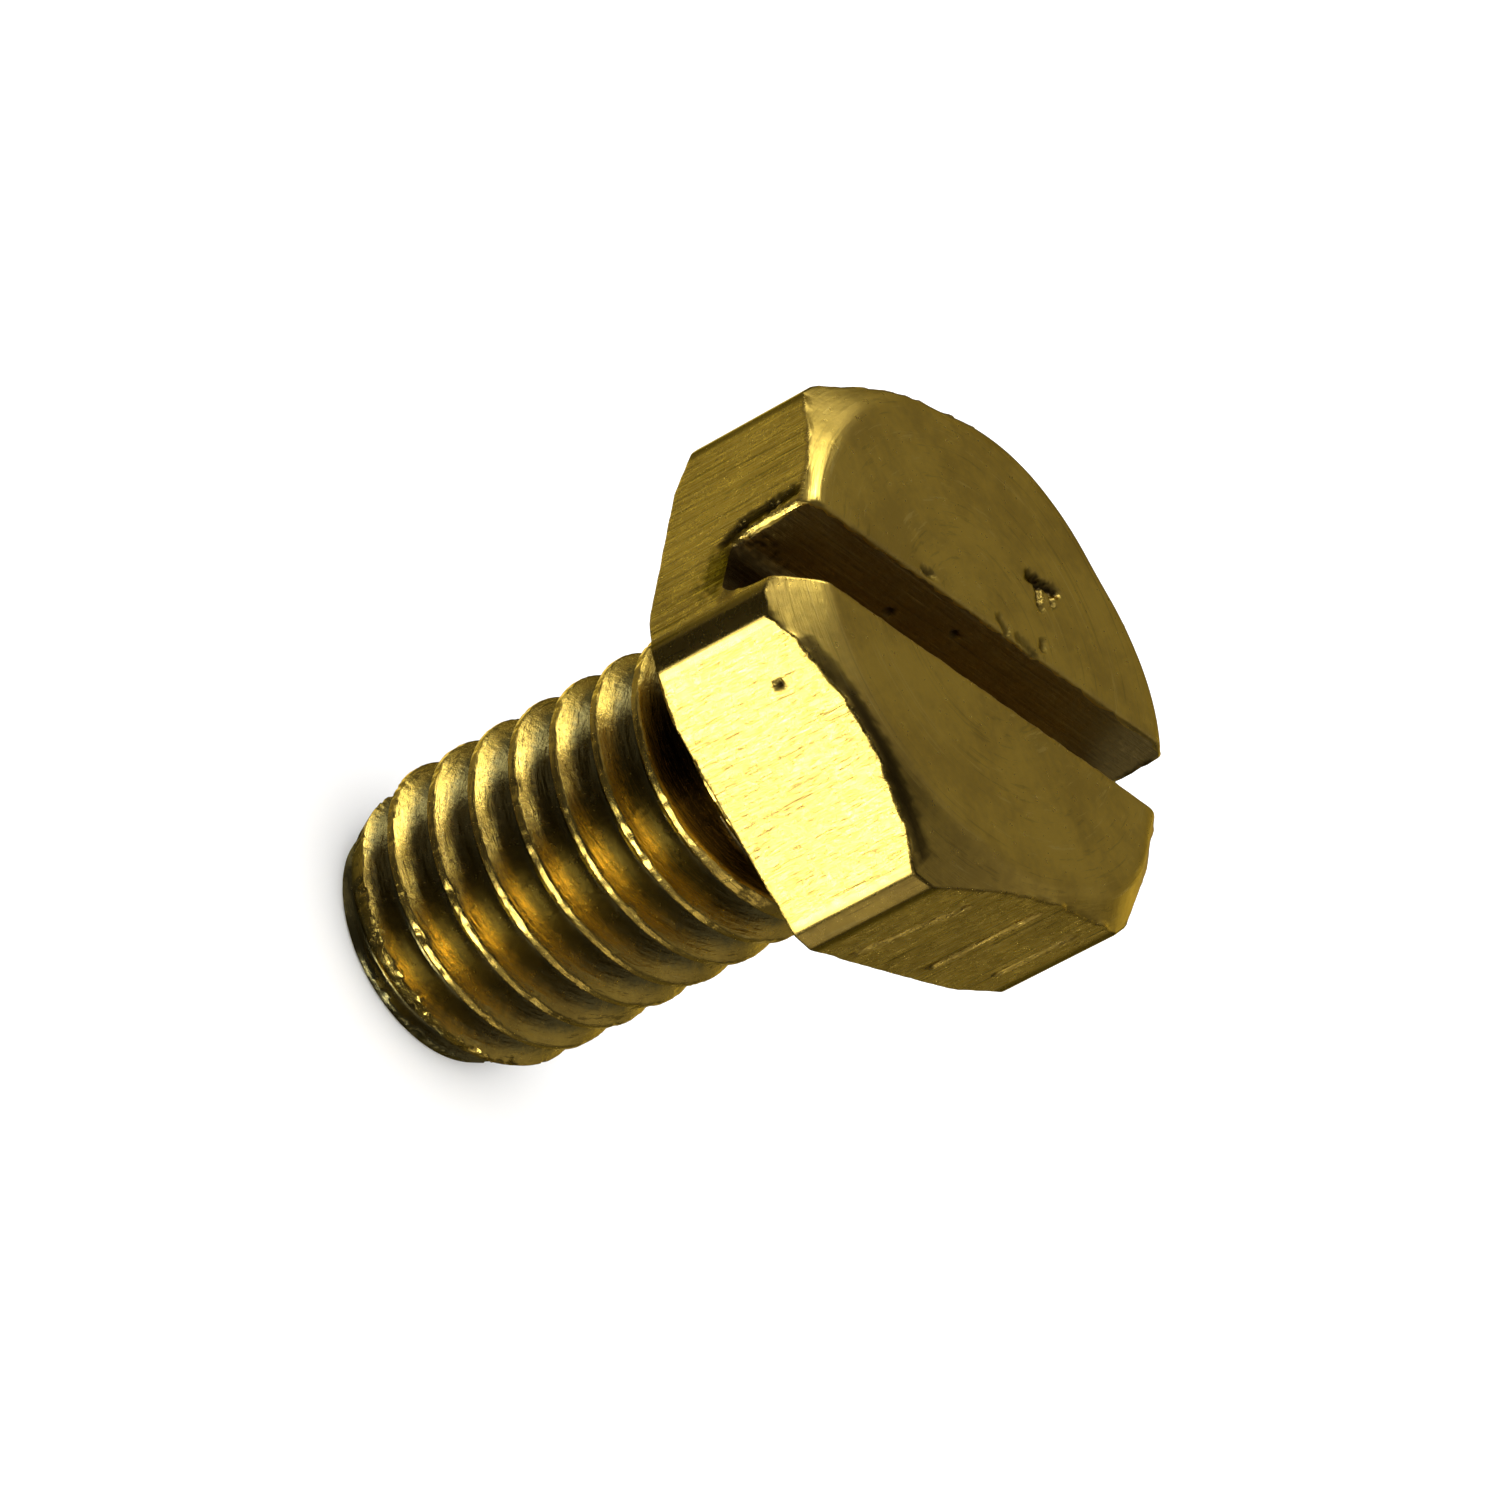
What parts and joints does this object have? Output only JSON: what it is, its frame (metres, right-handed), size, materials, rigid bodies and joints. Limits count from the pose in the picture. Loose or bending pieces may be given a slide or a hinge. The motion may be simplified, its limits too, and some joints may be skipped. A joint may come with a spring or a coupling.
{
  "type": "slotted hexagon head screw",
  "caption": "Slotted hexagon-head machine screw in brass, threaded almost to the head, with a tapered blunt tip.",
  "frame": {"origin": "centre of the head's bearing face, on the screw's axis", "axes": "+Z along the axis from the bearing face up through the head; the shank runs along -Z; +X through one corner of the hexagon, so two flats face +Y and -Y"},
  "size_m": [0.0113, 0.01, 0.0136],
  "materials": {
    "bare_brass": "turned, milled and slightly tarnished brass"
  },
  "bodies": {
    "root": {"slotted_hex_screw": "bare_brass"}
  },
  "joints": []
}
